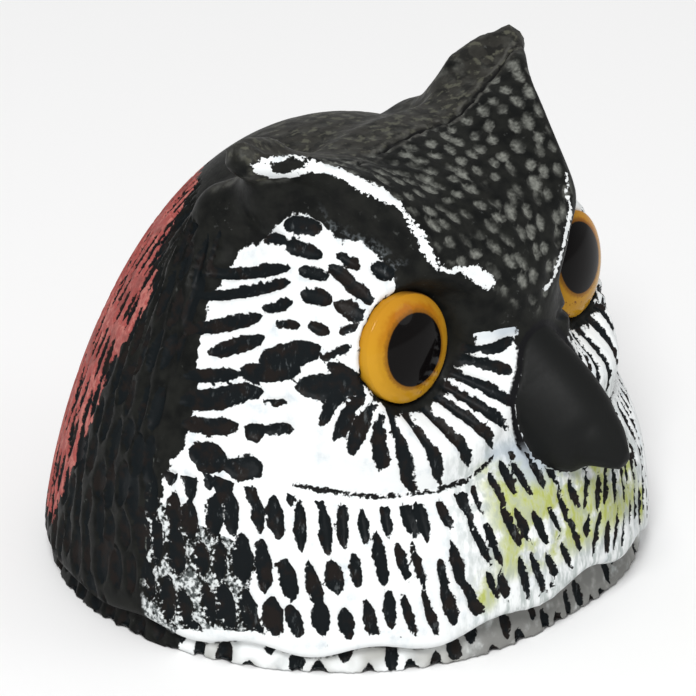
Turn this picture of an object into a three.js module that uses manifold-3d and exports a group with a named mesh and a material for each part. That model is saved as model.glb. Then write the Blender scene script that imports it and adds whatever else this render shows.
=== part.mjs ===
// Head of a great horned owl decoy, moulded in plastic and painted, cut flat below as a bust.
// Millimetres, +Z up, the owl faces -Y, the origin is the middle of the flat underside.
// The head is one hollow moulding in the real thing and a solid here; the two glossy eyes are set into it.

import * as THREE from 'three';
import { mergeVertices } from 'three/addons/utils/BufferGeometryUtils.js';
import Module from 'manifold-3d';

// Size of the head. The form of the bird is given below as shares of these two.
const HEAD_WIDTH = 184.6;
const HEAD_HEIGHT = 134;

// Neck collar, and the lip of the ruff that hangs over it
const COLLAR_WIDTH = 181;
const COLLAR_FLARE = 6;
const COLLAR_SETBACK = 4.5;
const COLLAR_TOP = 18;
const RIM_HEIGHT = 6.5;
const RIM_WAVE = 1.6;
const RIM_RISE = 8.5;
const RIM_ROUNDING = 3;

// Eyes
const EYE_WIDTH = 32;
const EYE_DEPTH = 9;
const EYE_DOME_HEIGHT = 4.5;
const EYE_CLEARANCE = 0.3;

// Carving
const PIT_DEPTH = 1.3;
const PIT_WIDTH = 6;
const PIT_LENGTH = 13.5;
const PIT_PITCH = 7.4;
const PIT_ROW_PITCH = 12.8;
const DISC_PIT_LENGTH = 15;
const DISC_PIT_WIDTH = 4.8;
const DISC_PIT_GAP = 3;
const GROOVE_WIDTH = 3.2;
const GROOVE_DEPTH = 1.4;
const CHEEK_FOLD_DEPTH = 5;

// Facets
const HEAD_COLUMNS = 64;
const HEAD_ROWS = 26;
const COLLAR_SIDES = 60;
const BEAK_COLUMNS = 12;
const BEAK_ROWS = 9;
const EYE_SEGMENTS = 22;
const DOME_STEPS = 4;

// Shares are turned into places here: x and y by half the width, z by the height.
const HALF = HEAD_WIDTH / 2;
const place = ([x, y, z]) => new THREE.Vector3(x * HALF, y * HALF, z * HEAD_HEIGHT);
const UP = new THREE.Vector3(0, 0, 1);
const FRONT = new THREE.Vector3(0, -1, 0);

// The eye sits here and looks a little outward and up.
const EYE_AT = place([0.429, -0.594, 0.681]);
const EYE_LOOK = new THREE.Vector3(0.117, -0.984, 0.136).normalize();
const EYE_RADIUS = EYE_WIDTH / 2;

// Small tools for blending forms. A field is negative inside and about a distance outside.
const clamp = (value, low, high) => Math.min(Math.max(value, low), high);
const mix = (a, b, share) => a + (b - a) * share;
const ease = (value) => {
  const t = clamp(value, 0, 1);
  return t * t * (3 - 2 * t);
};
const join = (a, b, blend) => {
  const overlap = Math.max(blend - Math.abs(a - b), 0) / blend;
  return Math.min(a, b) - (overlap * overlap * blend) / 4;
};
const trim = (a, b, blend) => -join(-a, -b, blend);

// Distance from p to a rounded rod from a to b whose radius changes along it
function rod(p, a, b, radiusA, radiusB) {
  const dx = b.x - a.x;
  const dy = b.y - a.y;
  const dz = b.z - a.z;
  const along = (p.x - a.x) * dx + (p.y - a.y) * dy + (p.z - a.z) * dz;
  const t = clamp(along / (dx * dx + dy * dy + dz * dz), 0, 1);
  return Math.hypot(p.x - a.x - t * dx, p.y - a.y - t * dy, p.z - a.z - t * dz) - mix(radiusA, radiusB, t);
}

// A row of beads [x, y, z, radius] in shares becomes one rounded chain.
const beadsOf = (rows) => rows.map(([x, y, z, radius]) => ({ at: place([x, y, z]), radius: radius * HALF }));
function chain(p, beads) {
  let nearest = Infinity;
  for (let i = 1; i < beads.length; i += 1) {
    const a = beads[i - 1];
    const b = beads[i];
    nearest = Math.min(nearest, rod(p, a.at, b.at, a.radius, b.radius));
  }
  return nearest;
}

// Rows of numbers are joined by a smooth curve through every row.
function curveThrough(rows, steps) {
  const first = rows[0].map((value, k) => 2 * value - rows[1][k]);
  const last = rows.at(-1).map((value, k) => 2 * value - rows.at(-2)[k]);
  const padded = [first, ...rows, last];
  const curve = [];
  for (let i = 1; i < padded.length - 2; i += 1) {
    for (let step = 0; step < steps; step += 1) {
      const t = step / steps;
      curve.push(padded[i].map((value, k) => {
        const before = padded[i - 1][k];
        const next = padded[i + 1][k];
        const after = padded[i + 2][k];
        const bend = 2 * before - 5 * value + 4 * next - after;
        const twist = 3 * value - before - 3 * next + after;
        return (2 * value + (next - before) * t + bend * t * t + twist * t * t * t) / 2;
      }));
    }
  }
  curve.push(rows.at(-1));
  return curve;
}

// Skull: round in plan, full at the face and more conical behind
const FACE_CURVE = 2;
const BACK_CURVE = 1.38;
const FACE_POWER = 0.5;
const BACK_POWER = 0.43;
const WIDEST_SHARE = 0.045;
const BACK_START = -0.05;
const BACK_SPAN = 0.75;
const TINY = 1e-6;
function skull(p) {
  const across = Math.hypot(p.x, p.y) + TINY;
  const behind = ease((p.y / across - BACK_START) / BACK_SPAN);
  const curve = mix(FACE_CURVE, BACK_CURVE, behind);
  const power = 1 / mix(FACE_POWER, BACK_POWER, behind);
  const tall = HEAD_HEIGHT * (1 - WIDEST_SHARE);
  const up = Math.max((p.z - WIDEST_SHARE * HEAD_HEIGHT) / tall, 0) + TINY;
  const rise = up ** curve;
  const spread = (across / HALF) ** power;
  const slope = Math.hypot((power * spread) / across, (curve * rise) / up / tall);
  return (rise + spread - 1) / slope;
}

// Filling of the brow over the skull, an egg shape
const BROW_AT = place([0, -0.217, 0.687]);
const BROW_SIZE = new THREE.Vector3(0.433, 0.477, 0.39).multiplyScalar(HALF);
function browMass(p) {
  const u = (p.x - BROW_AT.x) / BROW_SIZE.x;
  const v = (p.y - BROW_AT.y) / BROW_SIZE.y;
  const w = (p.z - BROW_AT.z) / BROW_SIZE.z;
  const reach = Math.hypot(u, v, w);
  const rate = Math.hypot(u / BROW_SIZE.x, v / BROW_SIZE.y, w / BROW_SIZE.z) + TINY;
  return (reach * (reach - 1)) / rate;
}

// Forehead: ribs from one brow crest to the other, from the beak up to the tips of the tufts.
// Each row holds the crest x, y, z, the middle y, z, how late the rib curves up, and the edge's radius.
const RIBS = [
  [0.022, -0.743, 0.674, -0.743, 0.674, 2.0, 0.033],
  [0.186, -0.724, 0.795, -0.753, 0.78, 2.0, 0.043],
  [0.276, -0.69, 0.838, -0.726, 0.828, 2.0, 0.049],
  [0.345, -0.652, 0.875, -0.683, 0.873, 2.0, 0.054],
  [0.371, -0.6, 0.927, -0.612, 0.914, 2.0, 0.054],
  [0.401, -0.527, 0.987, -0.504, 0.951, 2.3, 0.054],
  [0.449, -0.441, 1.037, -0.379, 0.979, 2.8, 0.05],
  [0.531, -0.332, 1.079, -0.271, 0.995, 3.2, 0.046],
  [0.612, -0.255, 1.092, -0.195, 0.999, 3.6, 0.041],
  [0.685, -0.185, 1.092, -0.141, 0.999, 4.0, 0.035],
];
const RIB_STEPS = 4;
const FOREHEAD = curveThrough(RIBS, RIB_STEPS);
const EDGE_INSET = 0.6;
const EDGE_BACK = 0.8;
const EDGE_DOWN = 0.5;
function forehead(p) {
  let nearest = Infinity;
  let before = null;
  for (const [crestX, crestY, crestZ, middleY, middleZ, late, edge] of FOREHEAD) {
    const radius = edge * HALF;
    const lift = clamp(p.x / (crestX * HALF), 0, 1) ** late;
    const spot = new THREE.Vector3(
      Math.min(p.x, crestX * HALF - EDGE_INSET * radius),
      mix(middleY, crestY, lift) * HALF + EDGE_BACK * radius,
      mix(middleZ, crestZ, lift) * HEAD_HEIGHT - EDGE_DOWN * radius,
    );
    if (before) nearest = Math.min(nearest, rod(p, before.spot, spot, before.radius, radius));
    before = { spot, radius };
  }
  return nearest;
}

// Back of the tuft, the knob at its tip, its root, and the hood that runs from the brow round to the side seam
const TUFT_BACK = beadsOf([
  [0.45, -0.085, 1.0, 0.06],
  [0.5, -0.085, 1.045, 0.066],
  [0.6, -0.1, 1.075, 0.056],
  [0.67, -0.125, 1.088, 0.043],
]);
const TUFT_KNOB = beadsOf([
  [0.655, -0.14, 1.077, 0.045],
  [0.683, -0.13, 1.095, 0.043],
]);
const TUFT_ROOT = beadsOf([
  [0.42, -0.195, 0.881, 0.12],
  [0.53, -0.141, 0.97, 0.08],
]);
const HOOD = beadsOf([
  [0.3, -0.52, 0.87, 0.09],
  [0.37, -0.34, 0.945, 0.11],
  [0.43, -0.12, 0.955, 0.1],
  [0.48, 0.08, 0.873, 0.119],
  [0.574, 0.13, 0.754, 0.098],
  [0.715, 0.098, 0.567, 0.065],
  [0.899, 0.065, 0.299, 0.054],
]);

// Distances from the eye: along the line in which it looks, straight, and across that line
function eyeFrame(p) {
  const offset = new THREE.Vector3(p.x, p.y, p.z).sub(EYE_AT);
  const along = offset.dot(EYE_LOOK);
  const far = offset.length();
  return { along, far, across: Math.sqrt(Math.max(far * far - along * along, 0)) };
}

// The face swells out to meet the eye and is hollowed in front of it, widely below and tightly under the brow.
const LID = 1.3;
const LID_STEP = 0.6;
const MOUND_SPREAD = 0.9;
const MOUND_BEND = 1.5;
const MOUND_REACH = 0.42 * HALF;
const MOUND_SLOPE = 0.8;
const HOLLOW_FLOOR = 1.6;
const HOLLOW_ABOVE = 0.3;
const HOLLOW_BELOW = 0.8;
function mound({ along, across }) {
  const back = clamp(-along - LID_STEP, 0, MOUND_REACH);
  const flare = MOUND_SPREAD * back - (MOUND_BEND / HALF) * back * back;
  return Math.max((across - EYE_RADIUS - LID - flare) * MOUND_SLOPE, along + LID_STEP, -MOUND_REACH - along);
}
function hollow(p, { along, across }) {
  const spread = mix(HOLLOW_ABOVE, HOLLOW_BELOW, ease((EYE_AT.z - p.z) / EYE_RADIUS));
  const wall = across - EYE_RADIUS - LID / 2 - spread * (along + HOLLOW_FLOOR);
  return Math.max(wall / Math.hypot(1, spread), -HOLLOW_FLOOR - along);
}

// Fold in which the facial disc meets the ruff, a groove round the eye on its lower side
const FOLD_RADIUS = 0.45 * HALF;
const FOLD_INNER = 0.076 * HALF;
const FOLD_OUTER = 0.141 * HALF;
const FOLD_TOP = 0.634 * HEAD_HEIGHT;
const FOLD_FADE = 0.187 * HEAD_HEIGHT;
function cheekFold(p, far) {
  const below = ease((FOLD_TOP - p.z) / FOLD_FADE);
  const offset = (far - FOLD_RADIUS) / (far < FOLD_RADIUS ? FOLD_INNER : FOLD_OUTER);
  return CHEEK_FOLD_DEPTH * below * Math.exp(-offset * offset);
}

// Wavy lower edge of the ruff, which climbs under the beak. Angles are in degrees from the front.
const WAVE_LENGTH = 23;
const WAVE_END = 130;
const WAVE_FADE = 60;
const RISE_SPAN = 27;
function rimHeight(x, y) {
  const turn = THREE.MathUtils.radToDeg(Math.atan2(Math.abs(x), -y));
  const rise = RIM_RISE * Math.exp(-((turn / RISE_SPAN) ** 2));
  const wave = RIM_WAVE * ease((WAVE_END - turn) / WAVE_FADE) * Math.cos((turn / WAVE_LENGTH) * 2 * Math.PI);
  return RIM_HEIGHT + rise + wave;
}

// The whole head but for the beak. How far each form melts into the next is a share of half the width.
const BROW_BLEND = 0.13 * HALF;
const PLATE_BLEND = 0.054 * HALF;
const KNOB_BLEND = 0.02 * HALF;
const ROOT_BLEND = 0.087 * HALF;
const HOOD_BLEND = 0.11 * HALF;
const TUFT_BLEND = 0.098 * HALF;
const MOUND_BLEND = 0.1 * HALF;
const HOLLOW_BLEND = 0.05 * HALF;
function headField(x, y, z) {
  const p = { x: Math.abs(x), y, z };
  const eye = eyeFrame(p);
  let tuft = join(forehead(p), chain(p, TUFT_BACK), PLATE_BLEND);
  tuft = join(tuft, chain(p, TUFT_KNOB), KNOB_BLEND);
  tuft = join(tuft, chain(p, TUFT_ROOT), ROOT_BLEND);
  tuft = join(tuft, chain(p, HOOD), HOOD_BLEND);
  let field = join(skull(p), browMass(p), BROW_BLEND);
  field = join(field, tuft, TUFT_BLEND);
  field = join(field, mound(eye), MOUND_BLEND);
  field += cheekFold(p, eye.far);
  field = trim(field, -hollow(p, eye), HOLLOW_BLEND);
  return trim(field, rimHeight(x, y) - z, RIM_ROUNDING);
}

// Beak: rounded rods along its hooked ridge, and a wide body that tapers towards the tip.
// Ridge rows hold y, z and the radius of the ridge.
const RIDGE = curveThrough([
  [-0.748, 0.679, 0.07],
  [-0.92, 0.602, 0.092],
  [-1.018, 0.54, 0.087],
  [-1.079, 0.481, 0.067],
  [-1.13, 0.432, 0.039],
  [-1.135, 0.396, 0.015],
], 3);
const RIDGE_BEADS = RIDGE.map(([y, z, radius], i) => {
  const a = RIDGE[Math.max(i - 1, 0)];
  const b = RIDGE[Math.min(i + 1, RIDGE.length - 1)];
  const run = (b[0] - a[0]) * HALF;
  const fall = (b[1] - a[1]) * HEAD_HEIGHT;
  const step = Math.hypot(run, fall);
  const inset = radius * HALF;
  const at = new THREE.Vector3(0, y * HALF - (fall / step) * inset, z * HEAD_HEIGHT + (run / step) * inset);
  return { at, radius: inset };
});
const BEAK_BODY = beadsOf([
  [0, -0.65, 0.627, 0.087],
  [0, -0.802, 0.526, 0.114],
  [0, -0.921, 0.466, 0.103],
  [0, -1.008, 0.444, 0.065],
]);
const BEAK_JAW = beadsOf([
  [0, -0.758, 0.425, 0.125],
  [0, -0.921, 0.422, 0.087],
]);
const BEAK_SQUASH = 0.68;
const BEAK_BLEND = 0.065 * HALF;
const JAW_BLEND = 0.043 * HALF;
function beakField(x, y, z) {
  const p = { x: Math.abs(x), y, z };
  const narrow = { x: p.x * BEAK_SQUASH, y, z };
  const upper = join(chain(p, RIDGE_BEADS), chain(narrow, BEAK_BODY), BEAK_BLEND);
  return join(upper, chain(narrow, BEAK_JAW), JAW_BLEND);
}

// Where a line from a point inside first meets the surface when it is followed inward from far away
const REACH = 1.6 * HEAD_WIDTH;
const COARSE_STEPS = 150;
const FINE_STEPS = 22;
function surfaceAlong(field, centre, direction) {
  const value = (t) => field(
    centre.x + direction.x * t,
    centre.y + direction.y * t,
    centre.z + direction.z * t,
  );
  let outside = REACH;
  let inside = REACH;
  while (value(inside) > 0 && inside > 0) {
    outside = inside;
    inside -= REACH / COARSE_STEPS;
  }
  for (let i = 0; i < FINE_STEPS; i += 1) {
    const middle = (outside + inside) / 2;
    if (value(middle) > 0) outside = middle;
    else inside = middle;
  }
  return centre.clone().addScaledVector(direction, (outside + inside) / 2);
}

// A closed mesh round a centre: rings of directions from the axis outward, closed by a pole at each end.
// Crowding draws the columns towards the front. Anchors are places onto which the nearest corner is moved.
const CROWDING_SHAPE = 0.22;
function shell(field, { centre, axis, front, columns, tiltsAt, crowding, anchors }) {
  const side = new THREE.Vector3().crossVectors(axis, front);
  const rings = [];
  for (let column = 0; column < columns; column += 1) {
    const even = (column / columns) * 2 * Math.PI;
    const turn = even - crowding * (Math.sin(even) - CROWDING_SHAPE * Math.sin(2 * even));
    const level = front.clone().multiplyScalar(Math.cos(turn)).addScaledVector(side, Math.sin(turn));
    tiltsAt(level).forEach((tilt, ring) => {
      rings[ring] ??= [];
      rings[ring].push(axis.clone().multiplyScalar(Math.cos(tilt)).addScaledVector(level, Math.sin(tilt)));
    });
  }
  const directions = [axis.clone(), ...rings.flat(), axis.clone().negate()];
  for (const anchor of anchors) {
    const towards = anchor.clone().sub(centre).normalize();
    const closeness = directions.map((direction) => direction.dot(towards));
    directions[closeness.indexOf(Math.max(...closeness))] = towards;
  }
  const points = directions.map((direction) => surfaceAlong(field, centre, direction));
  const at = (ring, column) => 1 + ring * columns + (column % columns);
  const last = rings.length - 1;
  const faces = [];
  for (let column = 0; column < columns; column += 1) {
    faces.push(0, at(0, column), at(0, column + 1));
    for (let ring = 0; ring < last; ring += 1) {
      const [a, b] = [at(ring, column), at(ring, column + 1)];
      const [c, d] = [at(ring + 1, column), at(ring + 1, column + 1)];
      const short = points[a].distanceTo(points[d]) < points[b].distanceTo(points[c]);
      if (short) faces.push(a, c, d, a, d, b);
      else faces.push(a, c, b, b, c, d);
    }
    faces.push(at(last, column + 1), at(last, column), points.length - 1);
  }
  return meshOf(points, faces);
}

// Meshes from corners, solids for joining and cutting, and back again
function meshOf(points, faces) {
  const geometry = new THREE.BufferGeometry();
  geometry.setAttribute('position', new THREE.Float32BufferAttribute(points.flatMap((v) => v.toArray()), 3));
  geometry.setIndex(faces);
  return geometry;
}
const WELD = 1e-4;
const wasm = await Module();
wasm.setup();
function solid(geometry) {
  const bare = geometry.clone();
  bare.deleteAttribute('normal');
  bare.deleteAttribute('uv');
  const merged = mergeVertices(bare, WELD);
  return new wasm.Manifold(new wasm.Mesh({
    numProp: 3,
    vertProperties: new Float32Array(merged.attributes.position.array),
    triVerts: new Uint32Array(merged.index.array),
  }));
}
function geometryOf(body) {
  const mesh = body.getMesh();
  const geometry = new THREE.BufferGeometry();
  geometry.setAttribute('position', new THREE.BufferAttribute(mesh.vertProperties, 3));
  geometry.setIndex(new THREE.BufferAttribute(mesh.triVerts, 1));
  geometry.computeVertexNormals();
  return geometry;
}

// Places on the surface, found along a line from the middle of the head, and the way out of it there
const HEAD_CENTRE = place([0, -0.087, 0.52]);
const onHead = (target) => surfaceAlong(headField, HEAD_CENTRE, target.clone().sub(HEAD_CENTRE).normalize());
const PROBE = 0.5;
function outward({ x, y, z }) {
  return new THREE.Vector3(
    headField(x + PROBE, y, z) - headField(x - PROBE, y, z),
    headField(x, y + PROBE, z) - headField(x, y - PROBE, z),
    headField(x, y, z + PROBE) - headField(x, y, z - PROBE),
  ).normalize();
}
const round = (turn, height) => new THREE.Vector3(Math.sin(turn) * HALF, -Math.cos(turn) * HALF, height);

// One pointed hollow, cut by a double pyramid that lies along the surface from one place to another
const PIT_LIFT = 0.2;
const PIT_FACES = [0, 1, 4, 1, 2, 4, 2, 3, 4, 3, 0, 4, 1, 0, 5, 2, 1, 5, 3, 2, 5, 0, 3, 5];
function pit(from, to, width, depth) {
  const start = onHead(from);
  const end = onHead(to);
  const middle = onHead(start.clone().lerp(end, 0.5));
  const out = outward(middle);
  const side = new THREE.Vector3().crossVectors(end.clone().sub(start), out).setLength(width / 2);
  const lift = out.clone().multiplyScalar(PIT_LIFT);
  return solid(meshOf([
    start.clone().add(lift),
    middle.clone().add(side).add(lift),
    end.clone().add(lift),
    middle.clone().sub(side).add(lift),
    middle.clone().addScaledVector(out, 2 * depth),
    middle.clone().addScaledVector(out, -depth),
  ], PIT_FACES));
}

// Feather pits of the ruff: staggered upright rows from the rim up to the cheek fold, as far as the side seam
const RUFF_ROWS = 4;
const RUFF_END = THREE.MathUtils.degToRad(98);
const RUFF_BAND = 2.5;
const RUFF_SHIFT = 0.25;
const FOLD_MARGIN = 0.033 * HALF;
const FOLD_END = THREE.MathUtils.degToRad(63);
const BEAK_MARGIN = 0.24 * HALF;
const BEAK_SHADE = 0.34 * HEAD_HEIGHT;
function ruffPits() {
  const pits = [];
  const step = PIT_PITCH / HALF;
  for (let row = 0; row < RUFF_ROWS; row += 1) {
    for (let turn = (RUFF_SHIFT + (row % 2) / 2) * step; turn < RUFF_END; turn += step) {
      const low = rimHeight(Math.sin(turn), -Math.cos(turn)) + RUFF_BAND + row * PIT_ROW_PITCH;
      const line = [round(turn, low), round(turn, low + PIT_LENGTH)];
      const top = onHead(line[1]);
      const clearOfFold = turn > FOLD_END || eyeFrame(top).far > FOLD_RADIUS + FOLD_MARGIN;
      const clearOfBeak = top.x > BEAK_MARGIN || top.z < BEAK_SHADE;
      if (clearOfFold && clearOfBeak) pits.push(line);
    }
  }
  return pits;
}

// Long pits of the facial disc beside the eye, in level rows that droop towards the side
const DISC_ROWS = 6;
const DISC_LOW = 0.46 * HEAD_HEIGHT;
const DISC_HIGH = 0.84 * HEAD_HEIGHT;
const DISC_END = THREE.MathUtils.degToRad(92);
const DISC_MIDDLE = THREE.MathUtils.degToRad(70);
const DISC_DROOP = 0.022 * HEAD_HEIGHT;
const DROOP_START = THREE.MathUtils.degToRad(52);
const DROOP_SPAN = THREE.MathUtils.degToRad(34);
const EYE_MARGIN = 0.076 * HALF;
function discPits() {
  const pits = [];
  for (let row = 0; row < DISC_ROWS; row += 1) {
    const height = mix(DISC_LOW, DISC_HIGH, row / (DISC_ROWS - 1));
    const beside = onHead(round(DISC_MIDDLE, height));
    const span = Math.hypot(beside.x, beside.y);
    const step = (DISC_PIT_LENGTH + DISC_PIT_GAP) / span;
    for (let turn = DISC_END - (row % 2) * step * 0.5; turn > step; turn -= step) {
      const inner = turn - DISC_PIT_LENGTH / span;
      if (eyeFrame(onHead(round(inner, height))).far < EYE_RADIUS + EYE_MARGIN) break;
      const droop = DISC_DROOP * ease((turn - DROOP_START) / DROOP_SPAN);
      pits.push([round(inner, height), round(turn, height - droop)]);
    }
  }
  return pits;
}

// Grooves that run out from under the eye like spokes
const GROOVE_COUNT = 11;
const GROOVE_FIRST = THREE.MathUtils.degToRad(28);
const GROOVE_LAST = THREE.MathUtils.degToRad(172);
const GROOVE_START = EYE_RADIUS + 0.05 * HALF;
const GROOVE_END = 0.4 * HALF;
const EYE_OUT = new THREE.Vector3().crossVectors(EYE_LOOK, UP).negate().normalize();
const EYE_DOWN = new THREE.Vector3().crossVectors(EYE_OUT, EYE_LOOK);
function grooves() {
  const lines = [];
  for (let i = 0; i < GROOVE_COUNT; i += 1) {
    const angle = mix(GROOVE_FIRST, GROOVE_LAST, i / (GROOVE_COUNT - 1));
    const ray = EYE_OUT.clone().multiplyScalar(Math.cos(angle)).addScaledVector(EYE_DOWN, Math.sin(angle));
    const start = EYE_AT.clone().addScaledVector(ray, GROOVE_START);
    lines.push([start, EYE_AT.clone().addScaledVector(ray, GROOVE_END)]);
  }
  return lines;
}

// Eye: a flat-backed glossy button with a domed front, and the socket it sits in
function turned(outline) {
  const corners = outline.map(([across, along]) => new THREE.Vector2(across, along));
  const geometry = new THREE.LatheGeometry(corners, EYE_SEGMENTS);
  geometry.applyQuaternion(new THREE.Quaternion().setFromUnitVectors(new THREE.Vector3(0, 1, 0), EYE_LOOK));
  geometry.translate(...EYE_AT.toArray());
  return geometry;
}
const DOME_FULLNESS = 1.5;
function eyeOutline() {
  const outline = [[0, EYE_CLEARANCE - EYE_DEPTH], [EYE_RADIUS, EYE_CLEARANCE - EYE_DEPTH]];
  for (let i = 0; i < DOME_STEPS; i += 1) {
    const angle = ((i / DOME_STEPS) * Math.PI) / 2;
    outline.push([EYE_RADIUS * Math.cos(angle), EYE_DOME_HEIGHT * Math.sin(angle) ** DOME_FULLNESS]);
  }
  return [...outline, [0, EYE_DOME_HEIGHT]];
}
const SOCKET_RADIUS = EYE_RADIUS + EYE_CLEARANCE;
const SOCKET_OPENING = 0.27 * HALF;
const socket = turned([
  [0, -EYE_DEPTH],
  [SOCKET_RADIUS, -EYE_DEPTH],
  [SOCKET_RADIUS, SOCKET_OPENING],
  [0, SOCKET_OPENING],
]);

// Neck under the lip: a ring that is wider below than above and set back under the beak
const SETBACK_SPAN = 24;
function collar() {
  const ring = (narrower, height) => Array.from({ length: COLLAR_SIDES }, (_, i) => {
    const turn = (i / COLLAR_SIDES) * 2 * Math.PI;
    const fromFront = THREE.MathUtils.radToDeg(Math.min(turn, 2 * Math.PI - turn));
    const setback = COLLAR_SETBACK * Math.exp(-((fromFront / SETBACK_SPAN) ** 2));
    const radius = COLLAR_WIDTH / 2 - narrower - setback;
    return new THREE.Vector3(Math.sin(turn) * radius, -Math.cos(turn) * radius, height);
  });
  const points = [...ring(0, 0), ...ring(COLLAR_FLARE, COLLAR_TOP)];
  points.push(new THREE.Vector3(0, 0, 0), new THREE.Vector3(0, 0, COLLAR_TOP));
  const [bottom, top] = [points.length - 2, points.length - 1];
  const faces = [];
  for (let i = 0; i < COLLAR_SIDES; i += 1) {
    const next = (i + 1) % COLLAR_SIDES;
    faces.push(bottom, next, i, top, COLLAR_SIDES + i, COLLAR_SIDES + next);
    faces.push(i, next, COLLAR_SIDES + next, i, COLLAR_SIDES + next, COLLAR_SIDES + i);
  }
  return meshOf(points, faces);
}

// The other side of the head is the mirror image.
const otherSide = (v) => new THREE.Vector3(-v.x, v.y, v.z);
function mirrored(geometry) {
  const copy = geometry.toNonIndexed();
  const points = copy.attributes.position;
  const corners = [new THREE.Vector3(), new THREE.Vector3(), new THREE.Vector3()];
  for (let i = 0; i < points.count; i += 3) {
    corners.forEach((v, k) => v.fromBufferAttribute(points, i + k));
    corners.map(otherSide).reverse().forEach((v, k) => points.setXYZ(i + k, v.x, v.y, v.z));
  }
  return copy;
}

// Rings of corners: down to the lip of the ruff, crowded towards the top, and then two round the lip
const ROW_CROWDING = 0.35;
const LIP_SHARE = 0.3;
function headTilts(level) {
  const low = rimHeight(level.x, level.y);
  const tiltTo = (across, height) => Math.atan2(across, height - HEAD_CENTRE.z);
  const lip = tiltTo(HALF, low + RIM_ROUNDING);
  const tilts = [];
  for (let row = 1; row <= HEAD_ROWS; row += 1) {
    const share = row / HEAD_ROWS;
    tilts.push(lip * (share - ROW_CROWDING * (share - share * share)));
  }
  tilts.push(tiltTo(HALF - LIP_SHARE * RIM_ROUNDING, low + LIP_SHARE * RIM_ROUNDING));
  tilts.push(tiltTo(HALF - (1 + LIP_SHARE) * RIM_ROUNDING, low));
  return tilts;
}
const BEAK_LAST_TILT = THREE.MathUtils.degToRad(160);
const beakTilts = () => Array.from({ length: BEAK_ROWS }, (_, row) => (BEAK_LAST_TILT * (row + 1)) / BEAK_ROWS);

// Crest of the brows, from the beak to the tips of the tufts, on both sides
const CREST = FOREHEAD.flatMap(([x, y, z]) => [place([x, y, z]), place([-x, y, z])]);

// The head: skin, beak and collar in one, with sockets and carving
const FRONT_CROWDING = 0.55;
const BEAK_CENTRE = place([0, -0.87, 0.5]);
const BEAK_AXIS = new THREE.Vector3(0, -0.8, -0.6);
const BEAK_FRONT = new THREE.Vector3(0, -0.6, 0.8);
function headSolid() {
  const skin = solid(shell(headField, {
    centre: HEAD_CENTRE,
    axis: UP,
    front: FRONT,
    columns: HEAD_COLUMNS,
    tiltsAt: headTilts,
    crowding: FRONT_CROWDING,
    anchors: CREST,
  }));
  const beak = solid(shell(beakField, {
    centre: BEAK_CENTRE,
    axis: BEAK_AXIS,
    front: BEAK_FRONT,
    columns: BEAK_COLUMNS,
    tiltsAt: beakTilts,
    crowding: 0,
    anchors: [],
  }));
  let head = skin.add(beak).add(solid(collar()));
  head = head.subtract(solid(socket)).subtract(solid(mirrored(socket)));
  const carving = [
    ...ruffPits().map((line) => [line, PIT_WIDTH, PIT_DEPTH]),
    ...discPits().map((line) => [line, DISC_PIT_WIDTH, PIT_DEPTH]),
    ...grooves().map((line) => [line, GROOVE_WIDTH, GROOVE_DEPTH]),
  ];
  for (const [line, width, depth] of carving) {
    head = head.subtract(pit(...line, width, depth));
    head = head.subtract(pit(...line.map(otherSide), width, depth));
  }
  return geometryOf(head);
}

const owl = new THREE.Group();
function add(name, geometry, color, roughness) {
  const material = new THREE.MeshStandardMaterial({ color, roughness, metalness: 0 });
  const mesh = new THREE.Mesh(geometry, material);
  mesh.name = name;
  owl.add(mesh);
}
const eye = turned(eyeOutline());
add('head', headSolid(), 0x2d2d2b, 0.6);
add('eye_left', eye, 0xd7961e, 0.08);
add('eye_right', mirrored(eye), 0xd7961e, 0.08);

export default owl;
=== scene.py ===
# %% [markdown]
# # The head of a great horned owl decoy
#
# The real thing is one hollow moulding in near-black plastic. White paint was brushed over the
# face and the ruff, so that it lies on the high parts and leaves every carved pit dark.
# The back has a salmon red paint instead, and two glossy glass-like eyes are set in the face.
# It could be sculpted with brushes, but a rule is easier to read and to change than a stroke.
# So we build the moulding as one fine mesh, carve it by rule, note on each of its points where
# paint lies, and let the material read those notes.

import bpy
import numpy as np
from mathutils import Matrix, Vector


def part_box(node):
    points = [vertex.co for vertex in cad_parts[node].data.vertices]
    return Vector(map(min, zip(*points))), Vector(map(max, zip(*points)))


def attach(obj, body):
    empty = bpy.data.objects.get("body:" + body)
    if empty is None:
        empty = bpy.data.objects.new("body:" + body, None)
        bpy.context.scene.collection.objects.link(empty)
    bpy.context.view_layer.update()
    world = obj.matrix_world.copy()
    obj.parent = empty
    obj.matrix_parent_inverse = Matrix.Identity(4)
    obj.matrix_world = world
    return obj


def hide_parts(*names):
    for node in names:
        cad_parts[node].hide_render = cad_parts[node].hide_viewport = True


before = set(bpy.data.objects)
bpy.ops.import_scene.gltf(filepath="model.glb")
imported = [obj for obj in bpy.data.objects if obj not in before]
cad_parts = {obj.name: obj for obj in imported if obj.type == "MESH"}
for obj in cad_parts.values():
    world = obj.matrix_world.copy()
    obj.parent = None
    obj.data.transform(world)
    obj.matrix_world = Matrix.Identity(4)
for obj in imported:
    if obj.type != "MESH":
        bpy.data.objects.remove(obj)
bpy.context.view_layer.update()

# %% [markdown]
# ## Camera
#
# The camera stands a little above the owl's right cheek and looks down on it.
# A long lens far away keeps the beak from looking larger than it is. A constraint could aim the
# camera, but a turn and a lift in degrees are plainer to read.

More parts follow.
